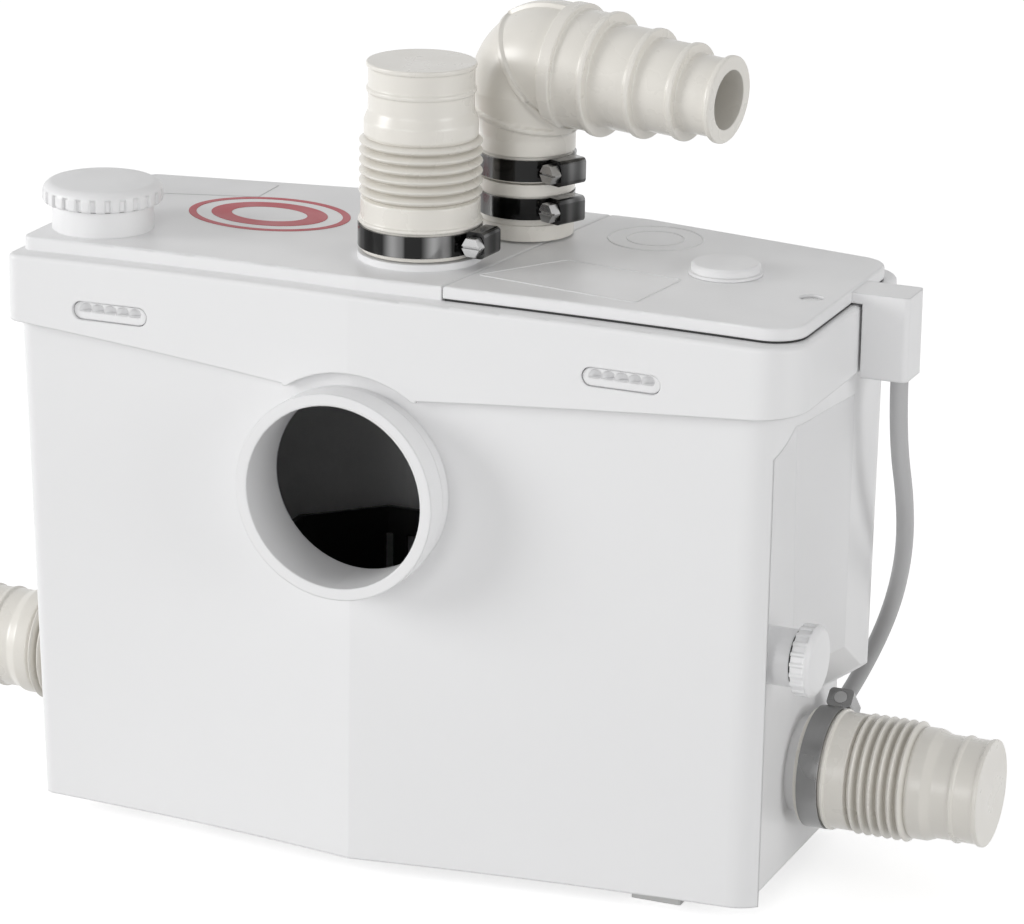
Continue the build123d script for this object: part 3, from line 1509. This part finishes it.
# Power cord: out of the cable box, down behind the rear corner and along the floor to a coil
cord_points = [
    (190, 14, 225),
    (190, 14, 200),
    (190.2, 30, 164),
    (182, 56, 131),
    (168, 84, 96),
    (150, 104, 60),
    (132, 113, 29),
    (110, 110, 9),
    (80, 99, 3.75),
    (50, 99, 3.75),
]
bend_share = 0.45


def corner_radii(points):
    """For each corner, the largest arc that its two runs allow."""
    radii = []
    for before, here, after in zip(points, points[1:], points[2:]):
        run_in = Vector(*here) - Vector(*before)
        run_out = Vector(*after) - Vector(*here)
        half_turn = radians(run_in.get_angle(run_out)) / 2
        radii.append(bend_share * min(run_in.length, run_out.length) / tan(half_turn))
    return radii


cord_radii = corner_radii(cord_points)
print("cord radii in diameters", [round(radius / (2 * cord_radius), 1) for radius in cord_radii])
with BuildPart() as power_cord:
    with BuildLine() as cord_path:
        FilletPolyline(*cord_points, radius=cord_radii)
    with BuildSketch(Plane(origin=cord_path.line @ 0, z_dir=cord_path.line % 0)):
        Circle(cord_radius)
    sweep()
save(power_cord, "power_cord")
cord_run = cord_path.wire().length
cord_area = pi * cord_radius**2
print("cord length", round(cord_run), "volume share", round(power_cord.part.volume / (cord_run * cord_area), 3))

# Coil of the cord's put-away length: loops that spiral in on the floor, climb, and spiral out again
coil_x = 50
coil_outer_radius = 49
coil_y = 148
coil_pitch = 9.4
coil_layer = 8.8
coil_in_halves = 4
coil_out_halves = 3
tail_length = 62
plug_radius = 19
plug_axis_z = 19
coil_stations = []
half_count = coil_in_halves + 1 + coil_out_halves
for half in range(half_count + 1):
    steps = half if half <= coil_in_halves else 2 * coil_in_halves + 1 - half
    radius = coil_outer_radius - steps * coil_pitch / 2
    height = cord_radius if half <= coil_in_halves else cord_radius + coil_layer
    height = plug_axis_z if half == half_count else height
    direction = -1 if half % 2 == 0 else 1
    coil_stations.append((Vector(coil_x, coil_y + direction * radius, height), Vector(direction, 0, 0)))
with BuildPart() as coil:
    with BuildLine() as coil_path:
        for (start_point, heading), (end_point, _) in zip(coil_stations, coil_stations[1:]):
            middle = (start_point + end_point) / 2 + heading * ((end_point - start_point).length / 2)
            ThreePointArc(start_point, middle, end_point)
        tail_end = coil_stations[-1][0] + coil_stations[-1][1] * tail_length
        Line(coil_stations[-1][0], tail_end)
    with BuildSketch(Plane(origin=coil_stations[0][0], z_dir=coil_stations[0][1])):
        Circle(cord_radius)
    sweep()
save(coil, "power_cord_coil")

coil_run = coil_path.wire()
coil_sample_count = 600
coil_samples = [coil_run.position_at(step / coil_sample_count) for step in range(coil_sample_count + 1)]
apart = int(coil_outer_radius * coil_sample_count / coil_run.length)
least = min(
    (first - second).length
    for index, first in enumerate(coil_samples)
    for second in coil_samples[index + apart :]
)
print("coil length", round(coil_run.length), "least gap", round(least - 2 * cord_radius, 2))

# Plug: a round two-pin plug with earth contacts, lying on the floor at the end of the coil
plug_tail = 14
plug_body = 30
plug_face_length = 12
plug_grip_radius = 12
plug_neck_radius = 6.5
pin_radius = 2.4
pin_pitch = 19
pin_length = 19
earth_width = 8
earth_depth = 3
plug_plane = Plane(origin=tail_end, x_dir=(0, 1, 0), z_dir=(-1, 0, 0))
with BuildPart() as power_plug:
    with BuildSketch(plug_plane):
        Circle(plug_neck_radius)
    with BuildSketch(plug_plane.offset(plug_tail)):
        Circle(plug_grip_radius)
    loft()
    with BuildSketch(plug_plane.offset(plug_tail)):
        Circle(plug_grip_radius)
    with BuildSketch(plug_plane.offset(plug_body - plug_face_length / 2)):
        Circle(plug_radius - bead)
    loft()
    with BuildSketch(plug_plane.offset(plug_body - plug_face_length / 2)):
        Circle(plug_radius)
    extrude(amount=plug_face_length)
    with BuildSketch(plug_plane.offset(plug_body + plug_face_length / 2)):
        with Locations((0, plug_radius), (0, -plug_radius)):
            Rectangle(earth_width, 2 * earth_depth)
    extrude(amount=-plug_face_length, mode=Mode.SUBTRACT)
    with BuildSketch(plug_plane.offset(plug_body + plug_face_length / 2)):
        with GridLocations(pin_pitch, 0, 2, 1):
            Circle(pin_radius)
    extrude(amount=pin_length)
save(power_plug, "power_plug")
